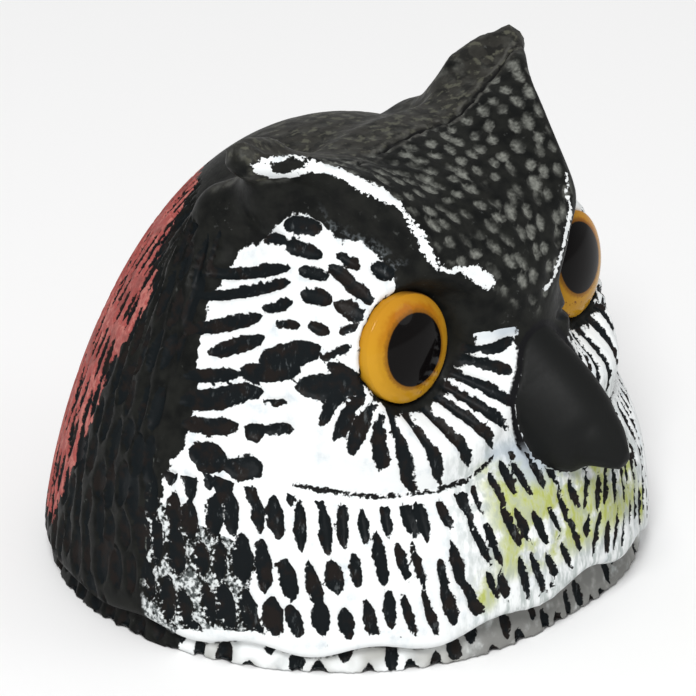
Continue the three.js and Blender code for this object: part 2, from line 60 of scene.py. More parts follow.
# %% Camera
CAMERA_TURN = np.radians(-51.0)
CAMERA_LIFT = np.radians(26.1)
CAMERA_DISTANCE = 1.4
AIM = Vector((0.0006, -0.0007, 0.0625))
camera_at = CAMERA_DISTANCE * Vector((
    np.sin(CAMERA_TURN) * np.cos(CAMERA_LIFT),
    -np.cos(CAMERA_TURN) * np.cos(CAMERA_LIFT),
    np.sin(CAMERA_LIFT),
))
camera = bpy.data.objects.new("camera", bpy.data.cameras.new("camera"))
camera.data.sensor_width = 36.0
camera.data.lens = 237.52
camera.location = camera_at
camera.rotation_euler = (AIM - camera_at).to_track_quat("-Z", "Y").to_euler()
bpy.context.scene.collection.objects.link(camera)
bpy.context.scene.camera = camera
print("camera at", [round(value, 3) for value in camera_at])

# %% [markdown]
# ## Tools for blending forms
#
# The head is described by a field: a number for every place that is negative inside the head,
# zero on its skin and roughly the distance in millimetres outside it.
# Simple forms are joined with a soft seam, as clay is smoothed where two lumps meet.
# Metaballs or booleans could do it too, but a field also tells us later how far a place is from
# the beak or the neck, and paint and carving need that.
# Places are given as shares of half the head's width and of its height.

# %% Sizes and blending tools
HALF = 184.6 / 2
TALL = 134.0
MM = 0.001


def place(x, y, z):
    return np.array([x * HALF, y * HALF, z * TALL])


def ease(value):
    t = np.clip(value, 0, 1)
    return t * t * (3 - 2 * t)


def mix(a, b, share):
    return a + (b - a) * share


def join(a, b, blend):
    overlap = np.maximum(blend - np.abs(a - b), 0) / blend
    return np.minimum(a, b) - overlap * overlap * blend / 4


def trim(a, b, blend):
    return -join(-a, -b, blend)


def rod(p, a, b, radius_a, radius_b):
    """Distance to a rounded rod from a to b whose radius changes along it"""
    line = b - a
    t = np.clip(((p - a) * line).sum(-1) / (line * line).sum(-1), 0, 1)
    return np.linalg.norm(p - a - t[..., None] * line, axis=-1) - mix(radius_a, radius_b, t)


def beads(rows):
    return [(place(x, y, z), radius * HALF) for x, y, z, radius in rows]


def chain(p, links):
    """Distance to a string of beads with a rod between each two"""
    rods = [rod(p, a[0], b[0], a[1], b[1]) for a, b in zip(links, links[1:])]
    return np.min(rods, axis=0)


def curve_through(rows, steps):
    """A smooth curve through every row of numbers"""
    rows = np.array(rows, float)
    padded = np.vstack([2 * rows[0] - rows[1], rows, 2 * rows[-1] - rows[-2]])
    curve = []
    for before, here, after, beyond in zip(padded, padded[1:], padded[2:], padded[3:]):
        for t in np.arange(steps) / steps:
            bend = 2 * before - 5 * here + 4 * after - beyond
            twist = 3 * here - before - 3 * after + beyond
            curve.append((2 * here + (after - before) * t + bend * t**2 + twist * t**3) / 2)
    return np.array(curve + [rows[-1]])


print("half the width and the height in mm", HALF, TALL)

# %% [markdown]
# ## Skull and brow
#
# The skull is round from above, full at the face and more conical behind. A ball pushed into
# shape would do, but two powers in a formula keep it even all round.
# The forehead is a plate stretched between the two brow crests. It is swept as ribs: each rib
# runs level from the middle and curves up late, close to the crest, and the ribs climb
# from the root of the beak to the tips of the tufts.

# %% Skull and brow
def skull(p):
    across = np.hypot(p[:, 0], p[:, 1]) + 1e-6
    behind = ease((p[:, 1] / across + 0.05) / 0.75)
    curve = mix(2.0, 1.38, behind)
    power = 1 / mix(0.5, 0.43, behind)
    tall = TALL * 0.955
    up = np.maximum((p[:, 2] - 0.045 * TALL) / tall, 0) + 1e-6
    rise = up**curve
    spread = (across / HALF) ** power
    slope = np.hypot(power * spread / across, curve * rise / up / tall)
    return (rise + spread - 1) / slope


BROW_AT = place(0, -0.217, 0.687)
BROW_SIZE = np.array([0.433, 0.477, 0.39]) * HALF


def brow_mass(p):
    offset = (p - BROW_AT) / BROW_SIZE
    reach = np.linalg.norm(offset, axis=-1)
    rate = np.linalg.norm(offset / BROW_SIZE, axis=-1) + 1e-6
    return reach * (reach - 1) / rate


# Each rib: crest x, y, z, middle y, z, how late the rib curves up, and the radius of its edge
RIBS = [
    [0.022, -0.743, 0.674, -0.743, 0.674, 2.0, 0.033],
    [0.186, -0.724, 0.795, -0.753, 0.78, 2.0, 0.043],
    [0.276, -0.69, 0.838, -0.726, 0.828, 2.0, 0.049],
    [0.345, -0.652, 0.875, -0.683, 0.873, 2.0, 0.054],
    [0.371, -0.6, 0.927, -0.612, 0.914, 2.0, 0.054],
    [0.401, -0.527, 0.987, -0.504, 0.951, 2.3, 0.054],
    [0.449, -0.441, 1.037, -0.379, 0.979, 2.8, 0.05],
    [0.531, -0.332, 1.079, -0.271, 0.995, 3.2, 0.046],
    [0.612, -0.255, 1.092, -0.195, 0.999, 3.6, 0.041],
    [0.685, -0.185, 1.092, -0.141, 0.999, 4.0, 0.035],
]
FOREHEAD = curve_through(RIBS, 6)


def forehead(p):
    nearest = np.full(len(p), np.inf)
    before = None
    for crest_x, crest_y, crest_z, middle_y, middle_z, late, edge in FOREHEAD:
        radius = edge * HALF
        lift = np.clip(p[:, 0] / (crest_x * HALF), 0, 1) ** late
        spot = np.stack([
            np.minimum(p[:, 0], crest_x * HALF - 0.6 * radius),
            mix(middle_y, crest_y, lift) * HALF + 0.8 * radius,
            mix(middle_z, crest_z, lift) * TALL - 0.5 * radius,
        ], -1)
        if before is not None:
            nearest = np.minimum(nearest, rod(p, before[0], spot, before[1], radius))
        before = (spot, radius)
    return nearest


print("ribs of the forehead", len(FOREHEAD))

# %% [markdown]
# ## Tufts and hood
#
# The ear tufts are tapered locks with a knob at the tip. The hood is the thick black roll that
# runs from each tuft down the side of the face. Both could be lofted along a curve, but a chain
# of beads is quicker to set: each row is a bead's x, y, z and radius.

# %% Tufts and hood
TUFT_BACK = beads([
    [0.45, -0.085, 1.0, 0.06],
    [0.5, -0.085, 1.045, 0.066],
    [0.6, -0.1, 1.075, 0.056],
    [0.67, -0.125, 1.088, 0.043],
])
TUFT_KNOB = beads([
    [0.655, -0.14, 1.077, 0.045],
    [0.683, -0.13, 1.095, 0.043],
])
TUFT_ROOT = beads([
    [0.42, -0.195, 0.881, 0.12],
    [0.53, -0.141, 0.97, 0.08],
])
HOOD = beads([
    [0.3, -0.52, 0.87, 0.09],
    [0.37, -0.34, 0.945, 0.11],
    [0.43, -0.12, 0.955, 0.1],
    [0.48, 0.08, 0.873, 0.119],
    [0.574, 0.13, 0.754, 0.098],
    [0.715, 0.098, 0.567, 0.065],
    [0.899, 0.065, 0.299, 0.054],
])
print("height of a tuft's tip in mm", round(float(TUFT_KNOB[-1][0][2] + TUFT_KNOB[-1][1]), 1))

# %% [markdown]
# ## Eye mound, cheek fold and the lip of the ruff
#
# The face swells out to carry each eye and is hollowed in front of it. Below the eye a fold
# parts the facial disc from the ruff, and the ruff ends in a wavy lip over the neck.
# All of these are measured from the eye's line of sight or from the turn round the head, so
# the mound and the hollow stay round the eye wherever it is put.

# %% Eye mound and cheek fold
EYE_AT = place(0.429, -0.594, 0.681)
EYE_LOOK = np.array([0.117, -0.984, 0.136])
EYE_LOOK /= np.linalg.norm(EYE_LOOK)
EYE_OUT = -np.cross(EYE_LOOK, [0, 0, 1])
EYE_OUT /= np.linalg.norm(EYE_OUT)
EYE_DOWN = np.cross(EYE_OUT, EYE_LOOK)
EYE_RADIUS = 16.0
EYE_DEPTH = 9.0
PLAY = 0.3


def eye_frame(p):
    """How far a place is along the eye's line of sight, in all, and across that line"""
    offset = p - EYE_AT
    along = offset @ EYE_LOOK
    far = np.linalg.norm(offset, axis=-1)
    return along, far, np.sqrt(np.maximum(far**2 - along**2, 0))


def mound(along, across):
    back = np.clip(-along - 0.6, 0, 0.42 * HALF)
    flare = 0.9 * back - 1.5 / HALF * back * back
    side = (across - EYE_RADIUS - 1.3 - flare) * 0.8
    return np.maximum.reduce([side, along + 0.6, -0.42 * HALF - along])


def hollow(p, along, across):
    spread = mix(0.3, 0.8, ease((EYE_AT[2] - p[:, 2]) / EYE_RADIUS))
    wall = across - EYE_RADIUS - 0.65 - spread * (along + 1.6)
    return np.maximum(wall / np.hypot(1, spread), -1.6 - along)


FOLD_RADIUS = 0.45 * HALF


def cheek_fold(p, far):
    below = ease((0.634 - p[:, 2] / TALL) / 0.187)
    offset = (far - FOLD_RADIUS) / np.where(far < FOLD_RADIUS, 0.076 * HALF, 0.141 * HALF)
    return 5 * below * np.exp(-offset * offset)


def turn_of(p):
    """Degrees round from the front of the face, the same on both sides"""
    return np.degrees(np.arctan2(np.abs(p[:, 0]), -p[:, 1]))


def rim_height(p):
    turn = turn_of(p)
    wave = 1.6 * ease((130 - turn) / 60) * np.cos(turn / 23 * 2 * np.pi)
    return 6.5 + 8.5 * np.exp(-((turn / 27) ** 2)) + wave


def face_field(p):
    """The whole head but for the beak and the neck. p has x at or above zero."""
    along, far, across = eye_frame(p)
    tuft = join(forehead(p), chain(p, TUFT_BACK), 0.054 * HALF)
    tuft = join(tuft, chain(p, TUFT_KNOB), 0.02 * HALF)
    tuft = join(tuft, chain(p, TUFT_ROOT), 0.087 * HALF)
    tuft = join(tuft, chain(p, HOOD), 0.11 * HALF)
    field = join(skull(p), brow_mass(p), 0.13 * HALF)
    field = join(field, tuft, 0.098 * HALF)
    field = join(field, mound(along, across), 0.1 * HALF)
    field = field + cheek_fold(p, far)
    field = trim(field, -hollow(p, along, across), 0.05 * HALF)
    return trim(field, rim_height(p) - p[:, 2], 3.0)


print("eye centre in mm", EYE_AT.round(1))

# %% [markdown]
# ## Beak and neck
#
# The beak is a hooked ridge of rounded rods over a wider body, with a jaw under it. Its ridge
# shows against the sky, so it is drawn as an outline and the beads are hung below that line.
# The neck below the ruff is a ring, a little wider at the bottom and set back under the beak.

# %% Beak and neck
RIDGE = curve_through([
    [-0.748, 0.679, 0.07],
    [-0.92, 0.602, 0.092],
    [-1.018, 0.54, 0.087],
    [-1.079, 0.481, 0.067],
    [-1.13, 0.432, 0.039],
    [-1.135, 0.396, 0.015],
], 6)


def ridge_beads():
    """The ridge's beads lie under its outline, each a radius away from it."""
    made = []
    for i, (y, z, radius) in enumerate(RIDGE):
        a, b = RIDGE[max(i - 1, 0)], RIDGE[min(i + 1, len(RIDGE) - 1)]
        run, fall = (b[0] - a[0]) * HALF, (b[1] - a[1]) * TALL
        inset = radius * HALF / np.hypot(run, fall)
        made.append((np.array([0, y * HALF - fall * inset, z * TALL + run * inset]), radius * HALF))
    return made


RIDGE_BEADS = ridge_beads()
BEAK_BODY = beads([
    [0, -0.65, 0.627, 0.087],
    [0, -0.802, 0.526, 0.114],
    [0, -0.921, 0.466, 0.103],
    [0, -1.008, 0.444, 0.065],
])
BEAK_JAW = beads([
    [0, -0.758, 0.425, 0.125],
    [0, -0.921, 0.422, 0.087],
])


def beak_field(p):
    narrow = p * [0.68, 1, 1]
    upper = join(chain(p, RIDGE_BEADS), chain(narrow, BEAK_BODY), 0.065 * HALF)
    return join(upper, chain(narrow, BEAK_JAW), 0.043 * HALF)


NECK_RADIUS = 90.5
NECK_TOP = 18.0


def neck_field(p):
    setback = 4.5 * np.exp(-((turn_of(p) / 24) ** 2))
    radius = NECK_RADIUS - 6 * np.clip(p[:, 2] / NECK_TOP, 0, 1) - setback
    return np.maximum(np.hypot(p[:, 0], p[:, 1]) - radius, p[:, 2] - NECK_TOP)


def folded(p):
    """Both sides of the head are alike, so each place is looked up on the left."""
    return np.stack([np.abs(p[:, 0]), p[:, 1], p[:, 2]], -1)


def moulding(p):
    """The whole moulding with the sockets of its eyes, cut flat below"""
    p = folded(p)
    along, _, across = eye_frame(p)
    socket = np.maximum(across - EYE_RADIUS - PLAY, -EYE_DEPTH - along)
    socket = np.maximum(socket, along - 25)
    field = np.minimum(np.minimum(face_field(p), beak_field(p)), neck_field(p))
    return np.maximum(trim(field, -socket, 0.6), -p[:, 2])


print("beads of the beak's ridge", len(RIDGE_BEADS))

# %% [markdown]
# ## A fine skin
#
# The CAD head has flat facets. We cut a copy of it anew into small even squares and then move
# every point onto the smooth field: the field's value says how far, its slope says which way.
# Between the moves each point is drawn a little towards its neighbours to keep the squares even.

# %% Remesh a copy of the CAD head
STEP = 1.27 * MM


def even_copy(node, step):
    piece = bpy.data.objects.new("painted_head", node.data.copy())
    bpy.context.scene.collection.objects.link(piece)
    even = piece.modifiers.new("even", "REMESH")
    even.mode = "VOXEL"
    even.voxel_size = step
    shape = piece.evaluated_get(bpy.context.evaluated_depsgraph_get())
    mesh = bpy.data.meshes.new_from_object(shape)
    piece.modifiers.clear()
    piece.data = mesh
    return piece


head = even_copy(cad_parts["head"], STEP)
print("triangles of the head", 2 * len(head.data.polygons))


# %% [markdown]
# The remeshed copy still shows the facets. A shrinkwrap modifier needs a smooth mesh to wrap
# round, and we have only the field, so numpy moves the points: each step goes along the
# field's slope, to where the field is zero.

# %% Move the points onto the field
def points_of(mesh):
    flat = np.empty(len(mesh.vertices) * 3)
    mesh.vertices.foreach_get("co", flat)
    return flat.reshape(-1, 3) / MM


def edges_of(mesh):
    flat = np.empty(len(mesh.edges) * 2, int)
    mesh.edges.foreach_get("vertices", flat)
    return flat.reshape(-1, 2)


def slope_at(p, value):
    probe = 0.05
    steps = np.eye(3) * probe
    return np.stack([moulding(p + step) - value for step in steps], -1) / probe


def onto_skin(p, rounds):
    for _ in range(rounds):
        value = moulding(p)
        slope = slope_at(p, value)
        size = np.maximum((slope * slope).sum(-1), 0.2)
        p = p - np.clip(value / size, -1.5, 1.5)[:, None] * slope
    return p


def relaxed(p, edges, amount):
    total = np.zeros_like(p)
    count = np.zeros(len(p))
    for a, b in (edges.T, edges.T[::-1]):
        np.add.at(total, a, p[b])
        np.add.at(count, a, 1)
    return mix(p, total / count[:, None], amount)


points = points_of(head.data)
edges = edges_of(head.data)
points = onto_skin(points, 2)
for _ in range(3):
    points = onto_skin(relaxed(points, edges, 0.5), 1)
left_over = moulding(points)
outward = slope_at(points, left_over)
outward /= np.linalg.norm(outward, axis=-1, keepdims=True) + 1e-9
points = points - outward * np.clip(left_over, -0.5, 0.5)[:, None]
print("points", len(points), "off the skin by", float(np.abs(left_over).mean()))

# %% [markdown]
# ## Carving
#
# The feathers are suggested by pointed pits in staggered rows. A pit is a lens: widest in its
# middle and pointed at both ends. For every point we ask which pit is nearest and how far
# inside its edge the point lies, in millimetres. The same number then cuts the mesh and,
# in the material, keeps the paint out of the pit. A brush or a height picture could carve too,
# but then paint and pit would have to be kept in step by hand.
# Chance comes from the row and column alone, so it is the same in every run.

# %% Rows of pits
def chance(row, column, kind):
    wave = np.sin(row * 12.9898 + column * 78.233 + kind * 37.719) * 43758.5453
    return wave - np.floor(wave)


def pits(along, height, pitch, row_pitch, length, width, kind, lean=0.0, loose=0.3):
    """Distance inside the nearest pit's edge, for places given along the rows and across them"""
    best = np.full(len(along), -9.0)
    nearest_row = np.round(height / row_pitch)
    for row_step in (-1, 0, 1):
        row = nearest_row + row_step
        shift = 0.5 * (row % 2)
        nearest_column = np.round(along / pitch - shift)
        for column_step in (-1, 0, 1):
            column = nearest_column + column_step
            luck = [chance(row, column, kind + i) - 0.5 for i in range(5)]
            middle = (column + shift + loose * luck[0]) * pitch
            level = (row + loose * luck[1]) * row_pitch
            half_length = length / 2 * (1 + 0.5 * luck[2])
            half_width = width / 2 * (1 + 0.5 * luck[3])
            up = height - level
            share = up / half_length
            aside = np.abs(along - middle - (lean + 0.25 * luck[4]) * up)
            best = np.maximum(best, half_width * (1 - np.abs(share) ** 2.6) - aside)
    return best


def cut(inside, depth, soft=0.7):
    """Depth of a pit with softly sloping sides"""
    return depth * ease((inside + soft * 0.6) / (2 * soft))


print("two draws of chance", float(chance(1, 2, 0)), float(chance(1, 3, 0)))

# %% [markdown]
# Before carving, every point is told where it is: its turn round the head, its height, its
# distance and bearing from the eye, its height over the ruff's lip, and how far inside the
# beak or the neck it lies. All that follows is written in these measures.

# %% Where each point is
mirrored = folded(points)
side = np.where(points[:, 0] < 0, 0.0, 50.0)
turn = turn_of(points)
_, far, _ = eye_frame(mirrored)
from_eye = mirrored - EYE_AT
bearing = np.degrees(np.arctan2(from_eye @ EYE_DOWN, from_eye @ EYE_OUT))
above_rim = points[:, 2] - rim_height(points)
height = points[:, 2]
on_beak = face_field(mirrored) - beak_field(mirrored)
on_neck = face_field(mirrored) - neck_field(mirrored)
print("heights in mm from", float(height.min()), "to", float(height.max()))

# %% [markdown]
# The ruff's pits are slim and lean forward under the beak, and grow broad towards the side.
# Their rows follow the wavy lip. The neck below it has one row of short pits.

# %% Pits of the ruff and the neck
pit_width = np.interp(turn, [0, 40, 62, 80, 130], [3.7, 3.9, 5.4, 6.0, 4.8])
pit_lean = np.interp(turn, [0, 20, 50, 75], [0.45, 0.35, 0.14, 0.1])
closer = np.radians(np.interp(turn, [0, 25, 50, 180], [0, 32, 60, 190]))
ruff_pits = pits(
    closer * HALF, above_rim - 11.5, 7.0, 13.2, 13.6, pit_width, side, lean=pit_lean, loose=0.36
)
neck_pits = pits(closer * NECK_RADIUS, height - 3.0, 7.4, 60.0, 9.0, 4.6, side + 11, loose=0.2)
print("share of points in a ruff pit", float((ruff_pits > 0).mean()))

# %% [markdown]
# The feathers of the facial disc run away from the eye and droop outward, like hair combed back
# from it. They could be laid out by rule like the pits, but they are few and bold, and the eye
# goes straight to them, so each one has a row of its own here.

# %% Feathers of the disc
# Each feather: bearing and distance from the eye at its near end, the same at its far end, width
FEATHERS = [
    [-86, 21, -82, 27, 3.8],
    [-75, 27, -73, 34, 3.0],
    [-59, 18.5, -66, 33.5, 4.2],
    [-43, 18.2, -46, 26.4, 4.6],
    [-35, 19, -26, 23, 2.5],
    [-18, 19.6, -5, 26.7, 2.0],
    [12, 18.6, -3, 25.3, 2.8],
    [18, 16, 11, 34.5, 7.0],
    [-59, 31, -55, 38.7, 4.2],
    [-46, 27, -43, 35, 4.8],
    [-24, 25, -27, 31, 3.2],
    [-14, 27, -2, 43, 7.0],
    [0, 32, 4, 49, 6.2],
    [-67, 36, -62, 46, 4.1],
    [-74, 42, -66, 50.2, 4.4],
    [-25, 32.5, -23, 39.2, 2.6],
    [-38, 36.3, -28, 43, 3.5],
    [18, 37, 17, 44, 2.2],
    [31, 39.6, 28, 47.7, 3.4],
    [-63, 46, -61, 52, 2.2],
    [-55, 41, -39, 65, 5.0],
    [-48, 39, -27, 65, 4.6],
    [-26, 43, -11, 66, 5.2],
    [-15, 41.5, -3, 58, 5.0],
    [4, 48, 6, 66, 4.4],
    [11, 43, 14, 68, 6.4],
    [23, 53, 20, 69, 4.6],
    [29, 48, 25, 52, 4.8],
    [36, 53, 32, 63, 5.5],
    [29, 60.5, 28, 70.5, 7.5],
]


def feathers():
    """Distance inside the nearest feather's edge, on the sheet spread out round the eye"""
    here = far * np.exp(1j * np.radians(bearing))
    best = np.full(len(points), -9.0)
    for bearing_a, far_a, bearing_b, far_b, width in FEATHERS:
        a = far_a * np.exp(1j * np.radians(bearing_a))
        b = far_b * np.exp(1j * np.radians(bearing_b))
        local = (here - (a + b) / 2) / (b - a)
        share = np.abs(local.real) * 1.9
        aside = np.abs(local.imag) * abs(b - a)
        best = np.maximum(best, np.maximum(0.58 * width * (1 - share**4), -9 * share) - aside)
    return best


disc_feathers = feathers()
print("feathers", len(FEATHERS), "share of points", float((disc_feathers > 0).mean()))

# %% [markdown]
# Under the eye the feathers turn into long thin cuts that fan out like the spokes of a wheel.
# A spoke bends a little on its way, so it has a bearing at both ends.

# %% Spokes under the eye
# Each spoke: bearing where it starts and where it ends, and the distances from the eye
SPOKES = [
    [166, 172, 22, 34],
    [156, 154.6, 22, 34],
    [142, 139.3, 20.5, 39],
    [129, 128, 19.5, 40.5],
    [117, 118, 19, 41],
    [99, 103.3, 18.7, 40.5],
    [77, 89.6, 19.2, 41],
    [59, 79.6, 20, 42.5],
    [50, 63.7, 23, 36.5],
    [40, 49.2, 21, 35],
    [28, 41.2, 20, 34],
    [16, 32, 20, 33.5],
]


def spokes(width):
    best = np.full(len(points), -9.0)
    for first, last, near, end in SPOKES:
        share = (far - near) / (end - near)
        line = mix(first, last, np.clip(share, 0, 1))
        aside = np.abs((bearing - line + 180) % 360 - 180) * np.radians(1) * far
        body = width / 2 * (0.65 + 0.9 * np.clip(share, 0, 1) - 1.5 * np.clip(share, 0, 1) ** 5)
        best = np.maximum(best, np.minimum(body - aside, np.minimum(far - near + 3, end - far)))
    return best


spoke_cuts = spokes(3.8)
print("spokes", len(SPOKES), "share of points", float((spoke_cuts > 0).mean()))

# %% [markdown]
# ## Where each kind of carving lies
#
# The ruff covers everything under the disc and the cheek fold. The disc is the ring round
# the eye up to the hood. The crown and forehead have small slanting dimples, and the back
# and the sides go on with the ruff's pits. Vertex groups painted by hand would say the same;
# an edge given as a height for each turn round the head can be moved by one number.

# %% Zones of the face
disc_top = np.interp(
    turn, [30, 38.7, 41.5, 46.7, 52.4, 56, 59, 63, 67, 70, 74, 77, 83, 86, 92],
    [110, 114, 116.5, 120, 120.5, 123.4, 126.2, 128.4, 128, 126, 121.6, 116.8, 114.2, 112, 104],
)
under_eye = np.minimum.reduce([43.5 - far, far - 18, (bearing - 12) * 0.4])
crease_height = np.interp(
    turn, [0, 12, 19.6, 25, 33, 44, 56, 64, 76, 90],
    [66, 62, 56.8, 53.3, 51.8, 51.8, 54.2, 56.5, 58, 56],
)
in_ruff = crease_height - 2.2 - height
print("share of points in the ruff", float((in_ruff > 0).mean()))

# %% [markdown]
# The crown's zone is the plate between the brow crests and the skin behind the parting. It
# fades where the skin turns to the side, so that no dimple smears down the hood. The rows
# climb by angle, because the plate bends from upright to nearly level on its way back.

# %% Zone of the crown and its dimples
crest_x = np.interp(height, [90, 106, 112, 117, 124, 132, 139, 145], [2, 17, 25, 31, 34, 37, 41, 52])
looks_aside = np.abs(outward[:, 0])
past_parting = ease((points[:, 1] + 24) / 3)
on_plate = ease((6.5 - forehead(mirrored)) / 2) * ease((height - 92) / 6)
on_plate *= ease((crest_x - mirrored[:, 0]) / 3)
on_plate *= ease((0.5 + 0.35 * ease((height - 116) / 10) - looks_aside) / 0.2)
behind_parting = ease((height - 125) / 6) * past_parting
behind_parting *= ease((0.68 - looks_aside) / 0.25)
crown = np.maximum(behind_parting, on_plate)
crown_back = crown * past_parting
up_the_plate = 48 * np.arctan2(height - 92, -22 - points[:, 1])
dimples = pits(mirrored[:, 0], up_the_plate, 6.0, 6.2, 5.4, 3.9, side + 23, lean=0.25, loose=0.45)
print("share of points on the crown", float((crown > 0.5).mean()))

# %% [markdown]
# Now the patterns are laid into their zones, one over the other, into a single number: how far
# inside any cut a point lies. The beak stays smooth.


# %% Put the carving together
def lean_on(zone, pattern):
    """A pattern that ends where its zone ends"""
    return np.where(zone > 0, np.minimum(pattern, zone + 1.0), -9.0)


carved = lean_on(np.where(turn < 92, in_ruff, 9.0), ruff_pits)
carved = np.where(height < 118, carved, -9.0)
carved = np.minimum(carved, np.where(turn < 100, above_rim - 4.2, above_rim - 1.5))
carved = np.maximum(carved, np.where(turn < 93, disc_feathers, -9.0))
carved = np.where((under_eye > 0) & (carved < spoke_cuts), spoke_cuts, carved)
carved = np.where(on_neck > 0.2, np.where(above_rim < 3, neck_pits, carved), carved)
carved = np.where(on_beak > 0, -9.0, carved)
print("share of points in a cut", float((carved > 0).mean()))

# %% [markdown]
# Two thin lines are part of the carving as well: the crease where the facial disc folds into the
# ruff, and the parting that runs over the crown behind the forehead from tuft to tuft.
# Beside the side seam the black hood has three soft upright folds. Lines as thin as these could
# be sculpted with a pinch brush; measured from a height or from a chain, they stay even.

# %% Thin lines
crease = np.where((turn > 18) & (turn < 62), 0.8 - np.abs(height - crease_height), -9.0)
crease = np.where(np.abs(far - 44) < 9, crease, -9.0)
PARTING = np.array([
    [57.5, -18.8, 147.4], [48.6, -20.0, 144.2], [36.3, -22.0, 141.0], [28.6, -23.4, 138.8],
    [20.0, -23.8, 136.4], [7.4, -22.1, 136.4], [-12.5, -23.1, 136.1], [-31.8, -30.4, 139.7],
])
parting = 0.7 - chain(points, [(spot, 0.0) for spot in PARTING])
print("share of points in the crease", float((crease > 0).mean()))
print("share of points in the parting", float((parting > 0).mean()))

# %% [markdown]
# Every cut is a depth at each point. The depths are added up and each point moves in once by
# the sum, which is gentler on the mesh than carving one pattern after the other.

# %% Cut
FOLDS = ((94, 1.5), (100, 2.2), (107, 1.6))
depth = cut(carved, 1.3) * (1 - crown)
off_the_beak = 1 - ease((on_beak + 0.4) / 0.6)
depth += cut(dimples, 0.7, 1.0) * crown * off_the_beak * (1 - 0.7 * crown_back)
depth += 1.2 * ease(crease + 0.5) + 1.4 * ease(parting + 0.3)
for fold_turn, fold_width in FOLDS:
    beside_fold = (turn - fold_turn - 0.08 * (height - 80)) * 1.4 / fold_width
    fold = 1.1 * np.exp(-beside_fold * beside_fold)
    depth += fold * ease((height - 58) / 16) * ease((122 - height) / 10)
carved_points = points - outward * depth[:, None]
print("deepest cut in mm", float(depth.max()))

# %% [markdown]
# ## Where the paint lies
#
# Each kind of paint gets a number on every point: how far inside the painted area the point is,
# in millimetres. A painted picture would need an unwrapped mesh; numbers on the points don't.
# The material adds fine noise to them before it decides, so brush edges come out ragged at
# a much smaller size than the mesh.

# %% White paint of the face
white_side = np.interp(
    height, [0, 8, 11, 13, 16, 28, 34, 39, 45, 54, 62, 75, 90, 100, 118],
    [84, 84, 76, 66, 70, 69, 68, 72, 88, 88, 85, 84, 88, 90, 84],
)
white_start = np.interp(
    bearing, [-180, -150, -100, -85, 30, 60, 80, 130, 150, 165, 180],
    [60, 60, 40, 16.5, 16.5, 19.5, 19.8, 19.5, 20, 20.5, 21.5],
)
white = np.minimum.reduce([
    (white_side - turn) * 1.6,
    np.where(height > 95, disc_top - height, 9.0),
    far - white_start,
    np.where(bearing < -100, -5.0, 9.0),
    np.full(len(points), 9.0),
])
root_of_beak = np.where(
    points[:, 0] < 0,
    np.maximum(turn - 7.5, 86 - height),
    np.maximum(turn - 42, 82 - height),
)
white = np.minimum(white, root_of_beak)
white = np.where(on_beak > -0.3, -9.0, white)
print("share of points painted white", float((white > 0).mean()))

# %% [markdown]
# A white line runs down each brow. On the owl's right it begins as two strands at the tuft and
# ends in a blob over the beak. On the left it only shows low on the brow. A single stroke of the
# brush has a width that comes and goes, and a chain of beads can say just that.

# %% White lines of the brows
# Each bead: x, y, z and half the stroke's width, in mm
BROW_LINE = [
    [63.7, -17.4, 145.4, 0.8], [60.8, -19.4, 143.8, 1.5], [56.9, -20.8, 140.8, 1.3],
    [53.7, -25.4, 141.9, 1.1], [50.9, -28.6, 143.9, 1.5], [46.4, -32.2, 143.5, 1.9],
    [43.6, -36.4, 141.0, 1.7], [41.6, -40.6, 138.3, 1.9], [39.5, -42.9, 137.3, 2.1],
    [36.9, -46.5, 134.5, 2.0], [35.6, -49.5, 131.5, 0.8], [35.4, -52.5, 128.0, 0.9],
    [34.9, -55.5, 124.5, 1.3], [34.7, -57.9, 120.3, 1.3], [33.4, -60.0, 116.5, 1.1],
    [30.4, -62.0, 114.2, 0.8], [25.7, -63.5, 113.5, 0.9], [21.8, -65.0, 111.7, 2.2],
    [18.2, -67.3, 108.0, 2.0],
]
UPPER_STRAND = [
    [60.6, -19.2, 146.1, 0.9], [57.5, -21.3, 146.6, 1.1],
    [52.8, -22.9, 147.0, 0.7], [49.5, -28.0, 145.4, 0.9],
]


def strand(rows):
    return -chain(mirrored, [(np.array([x, y, z]), 1.08 * width) for x, y, z, width in rows])


brow_paint = np.maximum(strand(BROW_LINE), strand(UPPER_STRAND))
LEFT_BROW_LINE = [
    [31.2, -57.7, 123.8, 0.6], [27.9, -61.3, 118.6, 0.9], [25.8, -63.7, 113.5, 1.0],
    [20.0, -66.2, 109.8, 0.9], [14.5, -68.6, 105.9, 0.8], [9.8, -70.0, 101.5, 0.8],
    [3.6, -71.1, 99.2, 0.5],
]
brow_paint = np.where(points[:, 0] < 0, brow_paint, strand(LEFT_BROW_LINE))
print("share of points under the brow lines", float((brow_paint > 0).mean()))

# %% [markdown]
# Salmon red covers the back below the crown. Between it and the white lies a strip low on
# the side with only a thin, dry coat of white. The white itself is tinted yellow green in front
# under the beak, and has blue grey painted shade close beside the beak and over it.

# %% Salmon, thin white, tints and painted shade
salmon_edge = np.interp(
    height, [10, 18, 28, 39, 56, 74, 90, 96, 101, 107, 114, 124],
    [131, 126, 123, 119.5, 116.5, 116, 112, 114, 121, 127, 135, 145],
)
salmon = np.minimum((turn - salmon_edge) * 1.6, 116 - height)
salmon = np.clip(np.minimum(salmon, height - 15), -9, 9)
thin_white = np.minimum.reduce([
    (91 - turn) * 1.6,
    (turn - white_side) * 1.6 + 3,
    46 - height,
    above_rim + 2,
])
yellow = ease((25 - turn) / 6) * ease((59 - height) / 5) * ease((height - 22) / 6)
yellow = np.maximum(yellow, ease(1.6 - np.hypot((turn - 24.8) / 2.4, (height - 22) / 5)))
# Blue grey painted shade close beside the beak, low under it and high over its root.
shade_by_beak = ease((30 - turn) / 8) * ease((height - 46) / 6) * ease((64 - height) / 6)
shade_by_beak *= ease((11 + on_beak) / 6)
over_beak = ease((height - 88) / 3) * ease((10 + on_beak) / 4)
shade_by_beak = np.maximum(shade_by_beak, over_beak)
